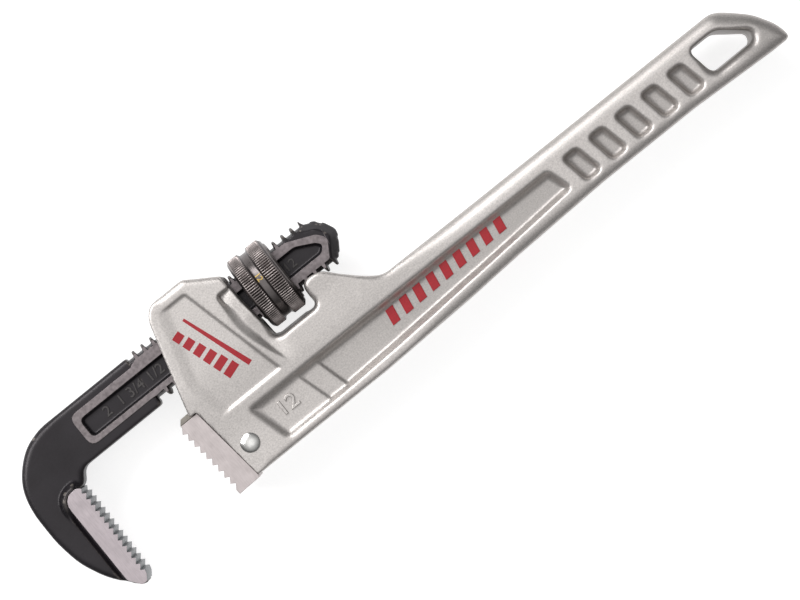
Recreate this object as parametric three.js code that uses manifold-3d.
// A straight pipe wrench with an aluminium handle, nominal length 12 in.
// Millimetres. The wrench lies flat on its side: X runs along the handle, away from the jaws,
// Y runs from the handle up through the housing, and Z is the thickness.
// While the pieces are made, x = y = 0 is just in front of the heel jaw's pin and z = 0 is the mid-plane.
import * as THREE from "three";
import { mergeVertices } from "three/addons/utils/BufferGeometryUtils.js";
import Module from "manifold-3d";

const wasm = await Module();
wasm.setup();

// ---- driving dimensions -------------------------------------------------------------------
const HOUSING_HALF = 13.2; // half the thickness of the housing, at the nut
const FOOT_HALF = 10.6; // half the thickness of the housing's foot, at the heel jaw
const GRIP_HALF = 9.5; // half the thickness of the grip
const FOOT_TOP = 2; // the thickness rises between these two heights
const CHEEK_START = 28;
const TAPER_START = 50; // and falls between these two stations
const TAPER_END = 112;
const EDGE_ROUND = 2.4; // the casting's rounded edges

const SCREW_CENTRE = [38.5, 39.2]; // middle of the nut
const SCREW_TILT = THREE.MathUtils.degToRad(-1); // the shank leans by a degree to the handle
const PITCH = 3.8;
const CREST_RADIUS = 10.05;
const ROOT_RADIUS = 8.2;
const RIDGE_CREST = 0.9; // width of a shank thread at its crest and at its root
const RIDGE_BASE = 1.5;
const CREST_STATION = -1.16; // a crest on the shank's upper edge, from the middle of the nut

const SHANK_HALF = 4.3; // half the thickness of the machined shank
const FORGED_HALF = 4.0; // half the thickness of the rough forged shank
const WEB_HALF = 2.5; // half the thickness left in the shank's recess
const HOOK_HALF = 6.5;
const LIP_HALF = 8.8;
const PAD_HALF = 8.0;
const HEEL_HALF = 10.3;
const PASSAGE_HALF = 5.0; // half the width of the passage through the housing

const NUT_RADIUS = 14.0;
const NUT_GROOVE_RADIUS = 13.0;
const NUT_BORE = 10.35;
const NUT_RIDGE_INNER = 8.5;
const KNURLS = 96;

const HOOK_TEETH = 14;
const HOOK_TOOTH_PITCH = 2.515;
const HEEL_TEETH = 10;
const HEEL_TOOTH_PITCH = 2.9;

const PIN_AT = [0.74, 0.29];
const PIN_RADIUS = 2.6;
const PIN_HEAD_RADIUS = 3.4;
const SPRING_AT_X = 12;
const CLEARANCE = 0.3;

// ---- materials ----------------------------------------------------------------------------
const castAluminium = new THREE.MeshStandardMaterial({ color: 0xbfbdbb, roughness: 0.5, metalness: 0.9 });
const groundSteel = new THREE.MeshStandardMaterial({ color: 0xbdb4b3, roughness: 0.38, metalness: 0.95 });
const blackSteel = new THREE.MeshStandardMaterial({ color: 0x2a292b, roughness: 0.5, metalness: 0.6 });
const bronzeBlack = new THREE.MeshStandardMaterial({ color: 0x3b352f, roughness: 0.42, metalness: 0.8 });
const brightSteel = new THREE.MeshStandardMaterial({ color: 0xd6d6d8, roughness: 0.2, metalness: 1 });
const springSteel = new THREE.MeshStandardMaterial({ color: 0x77787c, roughness: 0.35, metalness: 1 });

// ---- general shapes -----------------------------------------------------------------------
// A closed outline through [x, y] corners. A third number rounds that corner.
function outline(corners) {
  const shape = new THREE.Shape();
  corners.forEach(([x, y, reach = 0], i) => {
    const corner = new THREE.Vector2(x, y);
    const before = new THREE.Vector2(...corners.at(i - 1)).sub(corner).setLength(reach);
    const after = new THREE.Vector2(...corners[(i + 1) % corners.length]).sub(corner).setLength(reach);
    const start = before.add(corner);
    const end = after.add(corner);
    if (i === 0) shape.moveTo(start.x, start.y);
    else shape.lineTo(start.x, start.y);
    if (reach > 0) shape.quadraticCurveTo(x, y, end.x, end.y);
  });
  return shape;
}

// A plate of that outline between two heights. The bevel rounds its edges inside the outline.
function plate(corners, low, high, bevel = 0) {
  const settings = {
    depth: high - low - 2 * bevel,
    curveSegments: 4,
    bevelEnabled: bevel > 0,
    bevelThickness: bevel,
    bevelSize: bevel,
    bevelOffset: -bevel,
    bevelSegments: 3,
  };
  return new THREE.ExtrudeGeometry(outline(corners), settings).translate(0, 0, low + bevel);
}

// A round body about the X axis from [x, radius] corners.
function turned(corners, segments = 48) {
  const profile = corners.map(([x, radius]) => new THREE.Vector2(radius, x));
  return new THREE.LatheGeometry(profile, segments).rotateZ(-Math.PI / 2).rotateX(Math.PI / 2);
}

// A right-hand helix about the X axis, with frames that point straight out from the axis.
class Helix extends THREE.Curve {
  constructor(start, pitch, turns, radiusAt) {
    super();
    Object.assign(this, { start, pitch, turns, radiusAt });
  }

  radial(t) {
    const angle = 2 * Math.PI * this.turns * t;
    return new THREE.Vector3(0, Math.cos(angle), Math.sin(angle));
  }

  getPoint(t, target = new THREE.Vector3()) {
    const point = this.radial(t).multiplyScalar(this.radiusAt(t));
    point.x = this.start + this.pitch * this.turns * t;
    return target.copy(point);
  }

  getSpacedPoints(steps) {
    return Array.from({ length: steps + 1 }, (_, i) => this.getPoint(i / steps));
  }

  computeFrenetFrames(steps) {
    const frames = { tangents: [], normals: [], binormals: [] };
    for (let i = 0; i <= steps; i++) {
      const normal = this.radial(i / steps);
      const tangent = new THREE.Vector3(0, -normal.z, normal.y);
      frames.tangents.push(tangent);
      frames.normals.push(normal);
      frames.binormals.push(new THREE.Vector3(-1, 0, 0));
    }
    return frames;
  }
}

// A thread ridge: its section is [distance from the axis, half width] at its two edges.
function ridge(start, turns, [innerRadius, innerWidth], [outerRadius, outerWidth]) {
  const section = new THREE.Shape([
    new THREE.Vector2(innerRadius, -innerWidth / 2),
    new THREE.Vector2(outerRadius, -outerWidth / 2),
    new THREE.Vector2(outerRadius, outerWidth / 2),
    new THREE.Vector2(innerRadius, innerWidth / 2),
  ]);
  const path = new Helix(start, PITCH, turns, () => 0);
  const steps = Math.round(turns * 16);
  return new THREE.ExtrudeGeometry(section, { steps, extrudePath: path, bevelEnabled: false });
}

// ---- solids and meshes --------------------------------------------------------------------
function solid(geometry) {
  const bare = geometry.clone();
  bare.deleteAttribute("normal");
  bare.deleteAttribute("uv");
  const merged = mergeVertices(bare, 1e-4);
  const triVerts = new Uint32Array(merged.index.array);
  return new wasm.Manifold(
    new wasm.Mesh({ numProp: 3, vertProperties: merged.attributes.position.array, triVerts }),
  );
}

function geometryOf(body) {
  const { numProp, vertProperties, triVerts } = body.getMesh();
  const geometry = new THREE.BufferGeometry();
  const stored = new THREE.InterleavedBuffer(new Float32Array(vertProperties), numProp);
  geometry.setAttribute("position", new THREE.InterleavedBufferAttribute(stored, 3, 0));
  geometry.setIndex(new THREE.BufferAttribute(new Uint32Array(triVerts), 1));
  const faceted = geometry.toNonIndexed();
  faceted.computeVertexNormals();
  return faceted;
}

function piece(name, body, material) {
  const mesh = new THREE.Mesh(geometryOf(body), material);
  mesh.name = name;
  return mesh;
}

function cutAll(body, geometries) {
  return geometries.reduce((left, geometry) => left.subtract(solid(geometry)), body);
}

// The same cut on both faces, down to the given height over the mid-plane.
function bothFaces(corners, floor, bevel = 0) {
  const above = plate(corners, floor, 20, bevel);
  const below = above.clone().rotateX(Math.PI).scale(1, -1, 1);
  return [above, mirrored(below)];
}

// Turns the faces of a mirrored geometry round again.
function mirrored(geometry) {
  const position = geometry.getAttribute("position");
  for (let i = 0; i < position.count; i += 3) {
    const [x, y, z] = [position.getX(i), position.getY(i), position.getZ(i)];
    position.setXYZ(i, position.getX(i + 1), position.getY(i + 1), position.getZ(i + 1));
    position.setXYZ(i + 1, x, y, z);
  }
  return geometry;
}

// ---- handle -------------------------------------------------------------------------------
function handleOutline() {
  return [
    [-3.9, -9.6],
    [60, -9.5],
    [90, -8.5],
    [TAPER_END, -7.2],
    [150, -6.1],
    [190, -6.2],
    [225, -7.8],
    [230.2, -6.4],
    [230.8, -4],
    [229, 1.2],
    [224.5, 7],
    [219, 12],
    [214, 15.4],
    [TAPER_END, 16],
    [74, 16.2],
    [69, 17],
    [64, 21.8],
    [58.5, 27.8],
    [54, 31.8],
    [51, 32.5],
    [TAPER_START, 32.5],
    [47, 31],
    [46.8, 23.3, 1],
    [30.3, 23.3, 2],
    [28.8, 50.3],
    [20, 56.6],
    [16, 58.6],
    [3, 58.6],
    [-0.4, 55],
    [-4.6, 40],
    [-10.6, 19.8],
    [-6.5, 19.8],
  ];
}

// Half the casting's thickness at a point of the outline.
function thicknessAt(x, y) {
  const { clamp, lerp } = THREE.MathUtils;
  const front = lerp(FOOT_HALF, HOUSING_HALF, clamp((y - FOOT_TOP) / (CHEEK_START - FOOT_TOP), 0, 1));
  return lerp(front, GRIP_HALF, clamp((x - TAPER_START) / (TAPER_END - TAPER_START), 0, 1));
}

// A body made at the housing's thickness, thinned to the casting's own.
function thinned(body) {
  const geometry = geometryOf(body);
  const position = geometry.getAttribute("position");
  for (let i = 0; i < position.count; i++) {
    const half = thicknessAt(position.getX(i), position.getY(i));
    position.setZ(i, (position.getZ(i) * half) / HOUSING_HALF);
  }
  return solid(geometry);
}

// The depths of these cuts are measured at the housing's full thickness.
function castBody() {
  const cuts = [...longPockets(), ...smallPockets(), ...cheekPanels()];
  return thinned(cutAll(solid(plate(handleOutline(), -HOUSING_HALF, HOUSING_HALF, EDGE_ROUND)), cuts));
}

// The passage that the shank slides through, the slot behind the window, and the slot for the heel jaw.
function passages() {
  const front = [
    [-14, 27.5],
    [0, 27.2],
    [27.9, 27.2],
    [28.2, 23.9],
    [31, 23.9],
    [31, 49.8],
    [-14, 50.6],
  ];
  const behindWindow = [
    [45, 23.3],
    [50, 22.4],
    [75, 21.4],
    [75, 40],
    [45, 40],
  ];
  const heelSlot = [
    [-12, -12],
    [3, -12],
    [7.4, -4],
    [7.4, 5],
    [3, 12.8],
    [-12, 14.2],
  ];
  return [
    plate(front, -PASSAGE_HALF, PASSAGE_HALF),
    plate(behindWindow, -PASSAGE_HALF, PASSAGE_HALF),
    plate(heelSlot, -3.7, 3.7),
  ];
}

function springPocket() {
  return turned([[15.6, 0], [15.6, 3.6], [30, 3.6], [30, 0]], 24).rotateZ(Math.PI / 2).translate(SPRING_AT_X, 0, 0);
}

function pinBore() {
  const reach = 20;
  const seat = FOOT_HALF - 0.8;
  const radius = PIN_RADIUS + CLEARANCE;
  const wide = PIN_HEAD_RADIUS + CLEARANCE;
  const steps = [[-reach, 0], [-reach, wide], [-seat, wide], [-seat, radius], [seat, radius], [seat, wide]];
  const bore = turned([...steps, [reach, wide], [reach, 0]], 32);
  return bore.rotateY(Math.PI / 2).translate(...PIN_AT, 0);
}

// The long pocket of the I-beam has two low steps in its floor.
function longPockets() {
  const whole = [[6.8, 9.6, 2], [10.7, -5.8, 2], [60, -4.9], [100, -2.9], [139.6, -0.9, 2], [137, 9.6, 2]];
  const middle = [[27.2, 9.4], [31, -5.2], [60, -4.6], [100, -2.6], [139.2, -0.7, 2], [136.8, 9.4, 2]];
  const deep = [[35.3, 9.2], [38.9, -4.8], [60, -4.3], [100, -2.3], [138.8, -0.5, 2], [136.6, 9.2, 2]];
  return [...bothFaces(whole, 10.6), ...bothFaces(middle, 9.7), ...bothFaces(deep, 8.8)];
}

function smallPockets() {
  const first = 144.4;
  const spacing = 11.4;
  const cuts = [];
  for (let i = 0; i < 5; i++) {
    const x = first + spacing * i;
    const corners = [[x, 9.7, 2], [x + 2.9, -2.2, 2], [x + 10.3, -2.2, 2], [x + 7.6, 9.7, 2]];
    cuts.push(...bothFaces(corners, 8.8));
  }
  return cuts;
}

function hangHole() {
  const rim = [[200.2, 9.8, 2], [202.4, -0.9, 2], [219.6, -0.9, 2], [220.2, 2.3, 1], [211.5, 9.8, 2]];
  return plate(rim, -20, 20);
}

// A shallow three-cornered panel on each cheek, and the hollow for the thumb beside the nut.
function cheekPanels() {
  const panel = [[3.8, 53.6, 1], [-3.2, 30, 4], [-1, 13.4, 1], [24.6, 14.6, 1], [16, 48.8, 2], [14.2, 53.4, 1]];
  const scoop = [[24, 45, 3], [21.8, 37, 3], [23.4, 27, 4], [29.4, 13.5], [33, 13.5], [33, 47]];
  return [...bothFaces(panel, HOUSING_HALF - 0.8), ...bothFaces(scoop, HOUSING_HALF - 2.2)];
}

// The web that stands out over the heel jaw.
function heelLug() {
  return plate([[-14.4, 19.8], [-12.9, 21.8], [-10.4, 22.4], [-8, 27], [-4, 27], [-4, 19.8]], -3.4, 3.4);
}

function makeHandle() {
  return cutAll(castBody().add(solid(heelLug())), [...passages(), springPocket(), pinBore(), hangHole()]);
}

// ---- heel jaw and its pin -----------------------------------------------------------------
// Teeth along a line of tips, from the lowest tip up. Each tooth has a gullet above it.
function teeth(lowestTip, step, count, gullet) {
  const points = [];
  for (let i = 0; i < count; i++) {
    const [x, y] = [lowestTip[0] + step[0] * i, lowestTip[1] + step[1] * i];
    points.push([x, y], [x + gullet[0], y + gullet[1]]);
  }
  return points;
}

function heelBlockOutline() {
  const lean = THREE.MathUtils.degToRad(5.2);
  const step = [-HEEL_TOOTH_PITCH * Math.sin(lean), HEEL_TOOTH_PITCH * Math.cos(lean)];
  const front = teeth([-13.1, -9.26], step, HEEL_TEETH, [1.35, 2.0]);
  return [[-4.2, -10.9], [-7, 19.35], [-14.4, 19.3], ...front.reverse(), [-12.9, -11.1]];
}

function makeHeelJaw() {
  const tang = [[-8, -9.5], [-4, -9.5], [1.6, -7.4, 3], [6.8, -3.6, 3], [6.8, 4.4, 3], [2, 11.6, 3], [-8, 13]];
  const block = solid(plate(heelBlockOutline(), -HEEL_HALF, HEEL_HALF));
  const bore = turned([[-9, 0], [-9, PIN_RADIUS + CLEARANCE], [9, PIN_RADIUS + CLEARANCE], [9, 0]], 32);
  return block
    .add(solid(plate(tang, -3.4, 3.4)))
    .subtract(solid(bore.rotateY(Math.PI / 2).translate(...PIN_AT, 0)));
}

function makeHeelJawPin() {
  const under = FOOT_HALF - 0.5;
  const top = FOOT_HALF + 0.75;
  const end = [
    [under, PIN_RADIUS],
    [under, PIN_HEAD_RADIUS],
    [under + 0.45, PIN_HEAD_RADIUS],
    [top - 0.15, 2.4],
    [top, 1.5],
    [top - 0.35, 1.1],
    [top - 0.45, 0],
  ];
  const far = end.map(([x, radius]) => [-x, radius]).reverse();
  return solid(turned([...far, ...end], 24).rotateY(Math.PI / 2).translate(...PIN_AT, 0));
}

// ---- hook jaw -----------------------------------------------------------------------------
// From the screw's own frame, where X is its axis, to the wrench.
function placeOnScrew(geometry) {
  return geometry.rotateZ(SCREW_TILT).translate(...SCREW_CENTRE, 0);
}

function screwShank() {
  const root = ROOT_RADIUS;
  const crest = CREST_RADIUS;
  const nose = [[26.8, -5.8, 1], [29.3, -2, 1], [29.9, 0.2, 1], [28.3, 4.2, 1], [26.4, 6.2, 1], [21.4, root]];
  const flat = plate([[-53.6, -root], [25.3, -root], ...nose, [-53.6, root]], -SHANK_HALF, SHANK_HALF);
  const core = turned([[-53.6, 0], [-53.6, root], [31, root], [31, 0]], 32);
  const start = CREST_STATION - 14 * PITCH;
  const thread = ridge(start, 21, [root - 0.6, RIDGE_BASE + 0.2], [crest, RIDGE_CREST]);
  const limit = [[-51.6, -11], [24.4, -11], [26.2, -6], [26.2, 0], [20, 8], [19.6, 11], [-51.6, 11]];
  const ends = plate(limit, -SHANK_HALF, SHANK_HALF);
  const round = solid(placeOnScrew(flat)).intersect(solid(placeOnScrew(core)));
  return round.add(solid(placeOnScrew(thread)).intersect(solid(placeOnScrew(ends))));
}

function forgedShank() {
  const strip = [[-54, 30.15], [-14.6, 29.75, 1], [-14.6, 34], [-15, 34], [-15, 49.55, 0.6], [-54, 49.6]];
  const band = [[-42.6, 33.1, 3], [-14, 33.1], [-14, 45.9], [-42.6, 45.9, 3]];
  return solid(plate(strip, -FORGED_HALF, FORGED_HALF)).add(solid(plate(band, -SHANK_HALF, SHANK_HALF)));
}

function recess() {
  const corners = [
    [-40.2, 43.2, 2],
    [-40.2, 35.1, 2],
    [59.8, 35.1, 1],
    [61.9, 37.4, 1],
    [60.5, 39.2, 1],
    [53.4, 42.6, 2],
  ];
  return bothFaces(corners, WEB_HALF);
}

function hookHead() {
  const corners = [
    [-55.5, 49.6, 4],
    [-65, 44],
    [-70, 38.3],
    [-72.6, 33],
    [-73.3, 28],
    [-73.3, 15],
    [-72.4, 9],
    [-70, 2],
    [-66.5, -5],
    [-62.3, -10.6],
    [-58.6, -14.9],
    [-56, -14.9],
    [-55.4, 24.9],
    [-53.4, 24.9],
    [-50.4, 30.1],
    [-46, 30.1],
    [-46, 49.6],
  ];
  return solid(plate(corners, -HOOK_HALF, HOOK_HALF, 1.2));
}

function toothPad() {
  const lean = 0.0267;
  const lowest = 22 - HOOK_TOOTH_PITCH * (HOOK_TEETH - 1);
  const step = [lean * HOOK_TOOTH_PITCH, HOOK_TOOTH_PITCH];
  const front = teeth([-53.95 + lean * (lowest - 5), lowest], step, HOOK_TEETH, [-1.45, 0.85]);
  const corners = [
    [-58, -14.6, 1],
    [-55.2, -14.9],
    [-54.6, -12.2],
    ...front,
    [-53.8, 24.4],
    [-56, 25.4, 1],
    [-61.4, 24.6, 4],
    [-61.4, -10.6, 1],
  ];
  return solid(plate(corners, -PAD_HALF, PAD_HALF));
}

// The forging stands a little higher round the back of the milled pad.
function padLip() {
  const outside = [[-57, -13.8], [-61, -11.4], [-64.2, -7.5, 2], [-64.2, 27.6, 5], [-55.6, 28.2, 2], [-54.2, 25]];
  const inside = [[-57, -20], [-61.4, -20], [-61.4, 24.6, 4], [-56, 25.4, 1], [-50, 24], [-50, -20]];
  const lip = solid(plate(outside, -LIP_HALF, LIP_HALF, 0.8));
  return cutAll(lip, bothFaces(inside, HOOK_HALF));
}

function makeHookJaw() {
  const whole = hookHead().add(padLip()).add(toothPad()).add(forgedShank()).add(screwShank());
  return cutAll(whole, recess());
}

// ---- adjusting nut ------------------------------------------------------------------------
function knurledRing(low, high) {
  const shape = new THREE.Shape();
  for (let i = 0; i < 2 * KNURLS; i++) {
    const angle = (Math.PI * i) / KNURLS;
    const radius = i % 2 ? NUT_RADIUS - 0.45 : NUT_RADIUS;
    if (i) shape.lineTo(radius * Math.cos(angle), radius * Math.sin(angle));
    else shape.moveTo(radius, 0);
  }
  const ring = new THREE.ExtrudeGeometry(shape, { depth: high - low, bevelEnabled: false });
  return solid(ring.rotateY(Math.PI / 2).translate(low, 0, 0));
}

function makeNut() {
  const [rim, groove, hub] = [NUT_RADIUS, NUT_GROOVE_RADIUS, 11.6];
  const envelope = [
    [-7.3, 0],
    [-7.3, rim - 1],
    [-6.4, rim + 0.1],
    [-2.7, rim + 0.1],
    [-2, groove],
    [1.4, groove],
    [2.1, rim + 0.1],
    [6.3, rim + 0.1],
    [7.3, rim - 1.2],
    [7.3, hub],
    [7.8, hub - 0.3],
    [7.8, 0],
  ];
  const outside = solid(turned(envelope, 48)).intersect(
    knurledRing(-9, -2.1).add(knurledRing(1.5, 7.3)).add(solid(turned([[-8, 0], [-8, 13], [8, 13], [8, 0]], 48))),
  );
  const bore = solid(turned([[-9, 0], [-9, NUT_BORE], [9, NUT_BORE], [9, 0]], 40));
  const start = CREST_STATION + PITCH / 2 - 4 * PITCH;
  const thread = solid(ridge(start, 7, [NUT_RIDGE_INNER, 1.7], [NUT_BORE + 0.5, 2.4]));
  const trim = solid(turned([[-6.9, 0], [-6.9, 12], [7.3, 12], [7.3, 0]], 32));
  return outside.subtract(bore).add(thread.intersect(trim));
}

// ---- springs ------------------------------------------------------------------------------
function makeCoilSpring() {
  const [low, high, turns, wire] = [16.3, 28.0, 6.5, 0.38];
  const radiusAt = (t) => THREE.MathUtils.lerp(2.85, 1.75, THREE.MathUtils.smoothstep(t, 0.86, 0.98));
  const path = new Helix(low + wire, (high - low - 2 * wire) / turns, turns, radiusAt);
  const section = new THREE.Shape().absarc(0, 0, wire, 0, 2 * Math.PI);
  const steps = Math.round(turns * 10);
  const coil = new THREE.ExtrudeGeometry(section, { steps, extrudePath: path, curveSegments: 3, bevelEnabled: false });
  return solid(coil.rotateZ(Math.PI / 2).translate(SPRING_AT_X, 0, 0));
}

function makeFlatSpring() {
  const leaf = [
    [2, 28.64, 0.2],
    [28.3, 28.18],
    [29.1, 24.4],
    [29.7, 24.5],
    [29, 28.78, 0.5],
    [2, 29.24, 0.2],
  ];
  const hole = turned([[26, 0], [26, 1.2], [31, 1.2], [31, 0]], 16).rotateZ(Math.PI / 2);
  return solid(plate(leaf, -3.8, 3.8)).subtract(solid(hole.translate(SPRING_AT_X, 0, 0)));
}

function makeSpringRivet() {
  const profile = [[26.1, 0], [26.1, 1.2], [26.3, 1.45], [26.7, 1.45], [26.7, 0.9], [29.0, 0.9], [29.0, 0]];
  return solid(turned(profile, 16).rotateZ(Math.PI / 2).translate(SPRING_AT_X, 0, 0));
}

// ---- assembly -----------------------------------------------------------------------------
const wrench = new THREE.Group();
wrench.position.set(-78.75, -21.85, NUT_RADIUS);

const fixed = new THREE.Group();
fixed.add(piece("handle", makeHandle(), castAluminium));
fixed.add(piece("heel_jaw", makeHeelJaw(), groundSteel));
fixed.add(piece("heel_jaw_pin", makeHeelJawPin(), brightSteel));
fixed.add(piece("coil_spring", makeCoilSpring(), springSteel));

const rocking = new THREE.Group();
rocking.add(piece("flat_spring", makeFlatSpring(), springSteel));
rocking.add(piece("spring_rivet", makeSpringRivet(), springSteel));
rocking.add(piece("hook_jaw", makeHookJaw(), blackSteel));

const nut = piece("adjusting_nut", makeNut(), bronzeBlack);
nut.position.set(...SCREW_CENTRE, 0);
nut.rotation.z = SCREW_TILT;
rocking.add(nut);

wrench.add(fixed, rocking);

export default wrench;
